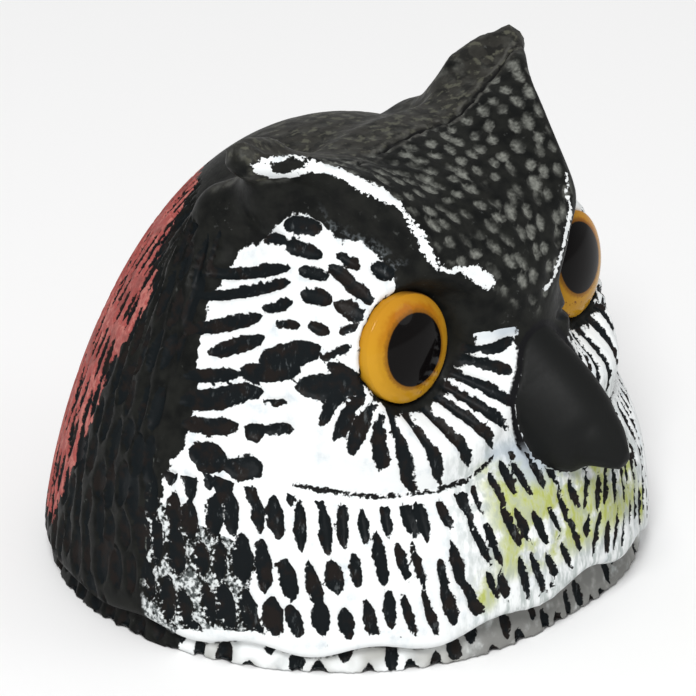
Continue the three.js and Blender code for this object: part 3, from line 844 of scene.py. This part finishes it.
print("share of points painted salmon", float((salmon > 0).mean()))

# %% [markdown]
# A few places have a tone of their own: pale patches where the hood meets the white, the dull
# line of the mould's seam low on the side; painted shade goes under the ruff's lip and on the front.

# %% Patches, seam and painted shade
hood_edge = ease((turn - 28) / 8) * ease((62 - turn) / 8) * ease((height - 108) / 5) * (1 - crown)
mould_seam = np.minimum(0.5 - np.abs(turn - 91.5) * 1.6, np.minimum(height - 14, 60 - height))
# Painted shade under the ruff's lip: how far a point is from where the neck meets the lip.
shade_under_lip = np.abs(on_neck - 0.6) + np.where(above_rim > 4, 9.0, 0.0)
# The front under the beak, which gets painted shade on the white and on the neck.
in_front = ease((36 - turn) / 14) * ease((66 - height) / 6)
print("share of points in front", float((in_front > 0.5).mean()))

# %% [markdown]
# The carved points go back into the mesh, fitted to the CAD head's own box, and each number
# becomes an attribute that the material can read by its name. The piece then rides the root
# body and stands in for the CAD head.


# %% Write the points and the notes into the mesh
def note(mesh, name, values):
    layer = mesh.attributes.new(name, "FLOAT", "POINT")
    layer.data.foreach_set("value", np.asarray(values, np.float32))


def write_points(mesh, p):
    mesh.vertices.foreach_set("co", (p * MM).astype(np.float32).ravel())
    mesh.update()


low, high = (np.array(corner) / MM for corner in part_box("head"))
found_low, found_high = carved_points.min(0), carved_points.max(0)
fit = (high - low) / (found_high - found_low)
print("fit to the CAD box", fit.round(4))
carved_points = (carved_points - found_low) * fit + low
write_points(head.data, carved_points)
for name, values in {
    "pit": np.clip(carved, -6, 6),
    "dimple": np.clip(dimples, -6, 6),
    "crown": crown,
    "crown_back": crown_back,
    "white": np.clip(white, -9, 9),
    "brow": np.clip(brow_paint, -6, 6),
    "salmon": salmon,
    "thin": np.clip(thin_white, -9, 9),
    "yellow": yellow,
    "shade_by_beak": shade_by_beak,
    "hood_edge": hood_edge,
    "crease": np.clip(crease, -6, 6),
    "seam": np.clip(mould_seam, -6, 6),
    "parting": np.clip(parting, -6, 6),
    "neck": np.clip(on_neck, -6, 6),
    "shade_under_lip": np.clip(shade_under_lip, 0, 9),
    "beak": np.clip(on_beak, -5, 5),
    "beside_beak": ease((height - 54) / 6),
    "in_front": in_front,
}.items():
    note(head.data, name, values)
head.data.polygons.foreach_set("use_smooth", np.ones(len(head.data.polygons), bool))
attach(head, "root")
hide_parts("head")

# %% [markdown]
# ## Materials as sentences
#
# Nodes could be placed and linked by hand, but so many masks would make a tangle that nobody
# can read. A small class wraps a node's output so that masks can be written as sums:
# `white * (1 - pit)` makes the Math nodes by itself. A Paint is a material under construction,
# and it makes every node by one method.

# %% Wires
class Wire:
    """The output of a node, to be used like a number"""

    def __init__(self, paint, socket):
        self.paint = paint
        self.socket = socket

    def math(self, operation, a, b):
        return self.paint.node("ShaderNodeMath", {"operation": operation}, {0: a, 1: b})

    def __add__(self, other):
        return self.math("ADD", self, other)

    def __mul__(self, other):
        return self.math("MULTIPLY", self, other)

    def __sub__(self, other):
        return self.math("SUBTRACT", self, other)

    def __rsub__(self, other):
        return self.math("SUBTRACT", other, self)

    __radd__ = __add__
    __rmul__ = __mul__

    def at_least(self, other):
        return self.math("MAXIMUM", self, other)

    def at_most(self, other):
        return self.math("MINIMUM", self, other)

    def between(self, low, high):
        """0 below low, 1 above high, smooth in between"""
        settings = {"interpolation_type": "SMOOTHSTEP"}
        return self.paint.node("ShaderNodeMapRange", settings, {0: self, 1: low, 2: high})


class Paint:
    """A material under construction"""

    def __init__(self, name):
        self.material = bpy.data.materials.new(name)
        self.material.use_nodes = True
        self.tree = self.material.node_tree
        self.tree.nodes.clear()
        self.place = self.node("ShaderNodeTexCoord", output="Object")

    def node(self, kind, settings=None, values=None, output=0):
        made = self.tree.nodes.new(kind)
        for key, value in (settings or {}).items():
            setattr(made, key, value)
        for key, value in (values or {}).items():
            if isinstance(value, Wire):
                self.tree.links.new(value.socket, made.inputs[key])
            else:
                made.inputs[key].default_value = value
        return Wire(self, made.outputs[output]) if len(made.outputs) else None

    def noted(self, name):
        return self.node("ShaderNodeAttribute", {"attribute_name": name}, output="Fac")

    def noise(self, size, detail=2.0, roughness=0.5, stretch=None):
        """Cloudy noise around 0.5, its lumps about size millimetres wide"""
        place = self.place
        if stretch:
            place = self.node("ShaderNodeVectorMath", {"operation": "MULTIPLY"}, {0: place, 1: stretch})
        values = {"Vector": place, "Scale": 1 / (size * MM), "Detail": detail, "Roughness": roughness}
        return self.node("ShaderNodeTexNoise", {}, values)

    def blend(self, a, b, share):
        return self.node("ShaderNodeMix", {"data_type": "RGBA"}, {0: share, 6: a, 7: b}, output=2)

    def bump(self, height, distance, strength=1.0, normal=None):
        values = {"Height": height, "Distance": distance * MM, "Strength": strength}
        if normal:
            values["Normal"] = normal
        return self.node("ShaderNodeBump", {}, values)

    def finished(self, values):
        """Give the shader its values and close the material"""
        shader = self.node("ShaderNodeBsdfPrincipled", {}, values)
        self.node("ShaderNodeOutputMaterial", {}, {"Surface": shader})
        return self.material


print("tools of a paint", [name for name in vars(Paint) if not name.startswith("_")])

# %% [markdown]
# ## Painted plastic
#
# Near-black plastic, a little green and dusty, with brushed white on the high parts,
# salmon red on the back and a matte beak. Each mask is a note from the mesh plus noise of a few
# sizes, cut off sharply. The fine noise frays the edge, and the coarse one makes it wander.

# %% Masks of the paint
skin = Paint("painted_plastic")
fine = skin.noise(1.1, 3.0) - 0.5
middle = skin.noise(3.5, 3.0) - 0.5
coarse = skin.noise(12.0, 2.0) - 0.5

pit = skin.noted("pit")
in_pit = (pit + fine * 1.5 + middle * 2.6).between(-0.15, 0.15)
brow = (skin.noted("brow") + fine * 3.4 + middle * 2.6 - 0.1).between(-0.15, 0.15)
white_area = (skin.noted("white") + fine * 3.2 + middle * 6.5 + coarse * 3.0).between(-0.3, 0.3)
white_area = white_area * (1 - in_pit)
ridge_between = (fine * 6.0 + middle * 5.0 - pit).between(0.0, 0.9)
thin_area = (skin.noted("thin") + middle * 4.0).between(-0.5, 1.5) * ridge_between
salmon_area = (skin.noted("salmon") + fine * 2.0 + middle * 9.0).between(-0.3, 0.4)
salmon_area = salmon_area * (1 - (pit + fine * 1.5 + middle).between(-0.2, 0.3))
print("nodes for the masks", len(skin.tree.nodes))

# %% [markdown]
# Bare plastic is never one black. It is greyer and speckled with olive on the crown, and dry
# streaks lie where a brush that was nearly empty went over it. Painted highlights sit in the
# dimples of the forehead, and painted glints here and there. Each is blended over the last.
# One picture could hold it all, but noise has no seams and no limit of size.

# %% Tones of the plastic
clouds = skin.noise(5.0, 3.0).between(0.3, 0.7)
plastic = skin.blend((0.004, 0.0045, 0.0043, 1), (0.0115, 0.012, 0.0105, 1), clouds)
warm_pit = (coarse + middle + 0.5).between(0.45, 0.7)
pit_tone = skin.blend((0.005, 0.007, 0.0082, 1), (0.0115, 0.009, 0.008, 1), warm_pit)
plastic = skin.blend(plastic, pit_tone, in_pit)
plastic = skin.blend(plastic, (0.040, 0.038, 0.033, 1), skin.noted("crown_back") * (middle + 0.6))
blotch = skin.noise(4.0, 2.0).between(0.50, 0.60) * skin.noted("crown_back") * 0.85
plastic = skin.blend(plastic, (0.012, 0.012, 0.011, 1), blotch)
olive = skin.noise(2.6, 3.0).between(0.53, 0.66) * skin.noted("crown_back")
plastic = skin.blend(plastic, (0.085, 0.085, 0.064, 1), olive * 0.8)
# Pale spots in the forehead's dimples are painted highlights.
spot = (skin.noted("dimple") + fine * 1.6 + middle * 1.2).between(-0.7, 1.7)
spot = spot * skin.noise(8.0, 2.0).between(0.28, 0.58)
spot = spot * skin.noted("crown") * (1 - skin.noted("crown_back") * 0.85)
plastic = skin.blend(plastic, (0.19, 0.195, 0.175, 1), spot * (0.78 + fine * 1.6))
# Pale specks on the bare plastic are painted glints.
scuff = skin.noise(2.2, 4.0, 0.7).between(0.62, 0.72) * skin.noise(14.0, 1.0).between(0.45, 0.65)
plastic = skin.blend(plastic, (0.09, 0.095, 0.09, 1), scuff * 0.5 * (1 - in_pit))
print("nodes up to the scuffs", len(skin.tree.nodes))

# %% [markdown]
# Pale blue-grey patches lie where the hood meets the white, and a nearly empty brush left dry
# streaks in the pits and along the white's edge. The streaks are noise stretched upright. The
# beak has one matte black of its own.

# %% Pale patches, dry streaks and the beak
pale_patch = (skin.noted("white") + middle * 3.0).between(-6.0, -1.0)
pale_patch = pale_patch * (fine * 2.0 + middle * 2.0).between(-0.1, 0.5)
pale_patch = pale_patch * skin.noted("hood_edge") * (1 - in_pit)
plastic = skin.blend(plastic, (0.16, 0.18, 0.19, 1), pale_patch * 0.6)
streak = skin.noise(1.5, 4.0, 0.7, stretch=(1, 1, 0.35)).between(0.56, 0.72)
streak = streak * (skin.noted("white") + middle * 6.0).between(-1.0, 3.0)
streak = streak * skin.noise(9.0, 1.0).between(0.4, 0.6)
plastic = skin.blend(plastic, (0.13, 0.145, 0.15, 1), streak * 0.55)
beak_mask = skin.noted("beak").between(-0.2, 0.2)
plastic = skin.blend(plastic, (0.0085, 0.009, 0.0088, 1), beak_mask)
print("nodes for the bare plastic too", len(skin.tree.nodes))

# %% [markdown]
# The white was brushed on thinly, so it turns bluish and grey where it is worn, and hairs of
# the brush run down through it: noise that is stretched upright draws them. The tints and painted
# shade are blended into the white before the white itself goes on.

# %% Tones of the white
worn = skin.noise(6.0, 4.0, 0.6).between(0.5, 0.8)
white_tone = skin.blend((0.76, 0.78, 0.78, 1), (0.56, 0.61, 0.64, 1), worn)
brushed = skin.noise(2.2, 3.0, 0.6, stretch=(1, 1, 0.3)).between(0.36, 0.62)
tint = skin.noted("yellow") * (coarse * 1.5 + middle + 0.5).between(0.2, 0.55) * (0.45 + brushed * 0.55)
# Painted shade greys the white on the front under the beak.
front_shade = skin.noted("in_front") * (1 - brushed)
white_tone = skin.blend(white_tone, (0.35, 0.39, 0.38, 1), front_shade * 0.85)
white_tone = skin.blend(white_tone, (0.36, 0.40, 0.075, 1), tint * 0.95)
# Blue grey painted shade beside the beak.
bluish_shade = skin.noted("shade_by_beak") * (coarse + 0.6).between(0.2, 0.7)
white_tone = skin.blend(white_tone, (0.40, 0.45, 0.50, 1), bluish_shade)
neck = skin.noted("neck").between(0.0, 0.6)
grey_neck = neck * (coarse + 0.5).between(0.3, 0.65)
white_tone = skin.blend(white_tone, (0.38, 0.38, 0.36, 1), grey_neck)
# Painted shade darkens the front of the neck.
neck_front_shade = neck * skin.noted("in_front") * (middle + 0.6).between(0.2, 0.6)
white_tone = skin.blend(white_tone, (0.20, 0.20, 0.19, 1), neck_front_shade)
print("nodes with the white's tones", len(skin.tree.nodes))

# %% [markdown]
# The coats go on in the order of the workshop: thin white, salmon, white. Salmon is a worn red
# over black, so it has light and dark patches of its own. One blend by mask for each coat is
# all it takes, where a stack of shaders would cost more and look the same.

# %% Coats of paint
full_coat = (fine * 2.0 + middle + 0.5).between(0.3, 0.8)
thin_tone = skin.blend((0.07, 0.08, 0.08, 1), (0.64, 0.67, 0.67, 1), full_coat)
colour = skin.blend(plastic, thin_tone, thin_area)
pale_salmon = (fine + middle * 1.5 + 0.5).between(0.35, 0.75)
salmon_tone = skin.blend((0.33, 0.078, 0.070, 1), (0.47, 0.165, 0.140, 1), pale_salmon)
dark_salmon = (coarse * 1.5 + middle + 0.5).between(0.55, 0.85)
salmon_tone = skin.blend(salmon_tone, (0.17, 0.040, 0.038, 1), dark_salmon * 0.7)
colour = skin.blend(colour, salmon_tone, salmon_area)
colour = skin.blend(colour, white_tone, white_area.at_least(brow))
print("nodes with the coats", len(skin.tree.nodes))

# %% [markdown]
# Last come the lines: the dull seam of the mould, a painted highlight beside the parting, and
# painted shade in the parting, the crease, the gap round the beak and under the lip.

# %% The seam, and lines of painted highlight and shade
seam = (skin.noted("seam") + fine * 0.8).between(0.0, 0.4) * (middle + 0.5).between(0.35, 0.6)
colour = skin.blend(colour, (0.10, 0.11, 0.10, 1), seam)
parting_line = skin.noted("parting")
# A painted highlight on the lip beside the parting.
beside = (parting_line + fine).between(-2.2, -1.0) * (1 - parting_line.between(-0.6, -0.2))
colour = skin.blend(colour, (0.07, 0.069, 0.062, 1), beside * (middle + 0.5).between(0.4, 0.65))
# Painted shade in the crease and in the parting's groove.
crease_shade = (skin.noted("crease") + fine * 1.6 + middle * 1.6).between(0.0, 0.3)
lines = parting_line.between(-0.2, 0.2).at_least(crease_shade)
# Painted shadow in the gap round the beak.
beak_gap_shadow = (skin.noted("beak") + fine).between(-1.9, -1.3) * (1 - beak_mask)
colour = skin.blend(colour, (0.006, 0.006, 0.007, 1), beak_gap_shadow * skin.noted("beside_beak"))
# Painted shade under the ruff's lip.
shade_under_lip = (0.9 - skin.noted("shade_under_lip") + fine * 1.4 + coarse * 3.0).between(0.0, 0.7)
colour = skin.blend(colour, (0.006, 0.006, 0.006, 1), lines.at_least(shade_under_lip * 0.8))
print("nodes with the lines", len(skin.tree.nodes))

# %% [markdown]
# Paint is rougher than the plastic and stands a hair over it. A bump is enough for that, because
# the coat is thinner than any mesh could show. A faint coat gives the plastic its dull sheen.

# %% Close the head's material
painted = (white_area.at_least(brow) + salmon_area).at_most(1)
roughness = 0.46 + fine * 0.25 + painted * 0.14 + beak_mask * 0.15
relief = skin.bump(painted, 0.12, 0.7)
relief = skin.bump(skin.noise(0.9, 3.0, 0.6), 0.09, 0.5, relief)
head.data.materials.clear()
head.data.materials.append(skin.finished({
    "Base Color": colour,
    "Roughness": roughness,
    "Normal": relief,
    "Specular IOR Level": 0.06,
    "Coat Weight": 0.04 + beak_mask * 0.02,
    "Coat Roughness": 0.42,
}))
print("nodes in the head's material", len(skin.tree.nodes))

# %% [markdown]
# ## Eyes
#
# Each eye is a domed glossy button: an amber iris under a clear front, a black pupil
# and brown specks near the lower edge. A squashed ball would do from afar, but light mirrors in
# the dome, so its outline matters: we turn it as on a lathe, round its own line of sight.
# Each face lists its corners so that its front looks out of the eye.

# %% Turn the eyes
DOME_HEIGHT = 4.5
EYE_BACK = PLAY - EYE_DEPTH
# On the left eye the pupil sits a little high and towards the beak, as if set by hand.
PUPIL_OFF = np.array([-0.8, 0.0, 2.6])


def eye_outline():
    outline = [(0, EYE_BACK), (EYE_RADIUS - 0.4, EYE_BACK), (EYE_RADIUS, EYE_BACK + 0.4)]
    for angle in np.linspace(0, np.pi / 2, 22):
        outline.append((EYE_RADIUS * np.cos(angle), DOME_HEIGHT * np.sin(angle) ** 1.5))
    return outline


def turned_eye(name, side, sides=96):
    look = EYE_LOOK * [side, 1, 1]
    out = EYE_OUT * [side, 1, 1]
    down = np.cross(out, look)
    centre = EYE_AT * [side, 1, 1]
    outline = eye_outline()
    verts = []
    for radius, rise in outline[1:-1]:
        for angle in np.arange(sides) / sides * 2 * np.pi:
            spoke = out * np.cos(angle) + down * np.sin(angle)
            verts.append((centre + spoke * radius + look * rise) * MM)
    rings = len(outline) - 2
    verts.append((centre + look * outline[0][1]) * MM)
    verts.append((centre + look * outline[-1][1]) * MM)
    faces = []
    for column in range(sides):
        following = (column + 1) % sides
        faces.append((len(verts) - 2, column, following))
        faces.append((len(verts) - 1, (rings - 1) * sides + following, (rings - 1) * sides + column))
        for ring in range(rings - 1):
            a, b = ring * sides + column, ring * sides + following
            faces.append((a, a + sides, b + sides, b))
    mesh = bpy.data.meshes.new(name)
    mesh.from_pydata(verts, [], faces)
    piece = bpy.data.objects.new(name, mesh)
    bpy.context.scene.collection.objects.link(piece)
    offsets = np.array(verts) / MM - centre
    note(mesh, "out", np.linalg.norm(np.cross(offsets, look), axis=-1))
    note(mesh, "top", offsets @ [0, 0, 1])
    note(mesh, "outer", offsets @ out)
    from_pupil = offsets - (PUPIL_OFF * [1, 0, 1] if side > 0 else 0)
    note(mesh, "from_pupil", np.linalg.norm(np.cross(from_pupil, look), axis=-1))
    mesh.polygons.foreach_set("use_smooth", np.ones(len(mesh.polygons), bool))
    return piece


eyes = {"eye_left": turned_eye("glossy_eye_left", 1), "eye_right": turned_eye("glossy_eye_right", -1)}
print("faces of an eye", len(eyes["eye_left"].data.polygons))

# %% [markdown]
# Clear glass over a painted disc could be built as two shells, but it would need many bounces of
# light to look right. A glossy coat over a painted colour reads the same from outside.
# The amber is darker round the pupil and above, and the specks lie low on the side of the beak.

# %% Eye material
glass = Paint("amber_eye")
out = glass.noted("out")
grain = glass.noise(1.2, 3.0, 0.6) - 0.5
streak = glass.noise(3.0, 2.0) - 0.5
top = glass.noted("top").between(-2.0, 15.0)
iris = glass.blend((0.43, 0.215, 0.012, 1), (0.36, 0.12, 0.008, 1), top)
iris = glass.blend(iris, (0.52, 0.27, 0.02, 1), (out + streak * 3.0).between(12.5, 14.5) * 0.6)
round_pupil = 1 - (glass.noted("from_pupil") + grain * 1.5).between(11.0, 12.4)
iris = glass.blend(iris, (0.17, 0.065, 0.007, 1), round_pupil * 0.8)
specks = (grain + 0.5).between(0.58, 0.66) * (0 - glass.noted("top")).between(2.0, 9.0)
specks = specks * (1 - glass.noted("outer").between(-6.0, 3.0))
iris = glass.blend(iris, (0.12, 0.035, 0.008, 1), specks)
rim = (out + grain * 0.3).between(15.5, 15.9) * (0 - glass.noted("outer")).between(-4.0, 6.0)
iris = glass.blend(iris, (0.10, 0.045, 0.010, 1), rim)
pupil = 1 - (glass.noted("from_pupil") + grain * 0.25).between(10.45, 10.95)
tone = glass.blend(iris, (0.003, 0.0024, 0.0024, 1), pupil)
amber = glass.finished({
    "Base Color": tone,
    "Roughness": 0.12 + grain * 0.05,
    "Specular IOR Level": 0.03,
    "Coat Weight": 0.12,
    "Coat Roughness": 0.03,
    "Normal": glass.bump(glass.noise(9.0, 1.0), 0.05, 0.3),
})
for name, piece in eyes.items():
    piece.data.materials.append(amber)
    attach(piece, "root")
    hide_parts(name)
print("nodes in the eyes' material", len(glass.tree.nodes))

# %% [markdown]
# ## Studio
#
# A pale floor that runs to the horizon, a large soft lamp above and to the left,
# a weaker one on the right, and a pale sky that lifts the shadows. A sky picture would light it
# as well, but two discs and one grey value are all that a single small object needs.

# %% Floor
FLOOR_REACH = 30.0
JUST_BELOW = -0.0002
corners = [(x * FLOOR_REACH, y * FLOOR_REACH, 0) for x, y in ((-1, -1), (1, -1), (1, 1), (-1, 1))]
floor_mesh = bpy.data.meshes.new("floor")
floor_mesh.from_pydata(corners, [], [(0, 1, 2, 3)])
floor = bpy.data.objects.new("floor", floor_mesh)
floor.location.z = JUST_BELOW
bpy.context.scene.collection.objects.link(floor)
ground = Paint("pale_floor")
floor_mesh.materials.append(ground.finished({
    "Base Color": (0.9, 0.9, 0.9, 1),
    "Roughness": 0.9,
}))
print("floor reaches to", FLOOR_REACH, "m")

# %% [markdown]
# The lamps are discs, because a round lamp makes a round highlight in the eyes' domes.
# A wide one gives shadows with soft edges, as the light of a studio does.

# %% Sky and lamps
world = bpy.data.worlds.new("studio")
bpy.context.scene.world = world
world.use_nodes = True
world.node_tree.nodes["Background"].inputs[0].default_value = (1, 1, 1, 1)
world.node_tree.nodes["Background"].inputs[1].default_value = 0.5


def lamp(name, place, size, power):
    light = bpy.data.lights.new(name, "AREA")
    light.shape = "DISK"
    light.size = size
    light.energy = power
    made = bpy.data.objects.new(name, light)
    made.location = place
    made.rotation_euler = (Vector((0, 0, 0.07)) - Vector(place)).to_track_quat("-Z", "Y").to_euler()
    bpy.context.scene.collection.objects.link(made)
    return made


lamp("key", (-2.4, -1.45, 3.0), 1.3, 140)
lamp("fill", (1.0, -2.0, 1.0), 1.0, 4)
bpy.context.scene.view_settings.view_transform = "Standard"
print("lamps", [light.name for light in bpy.data.lights])

# %% [markdown]
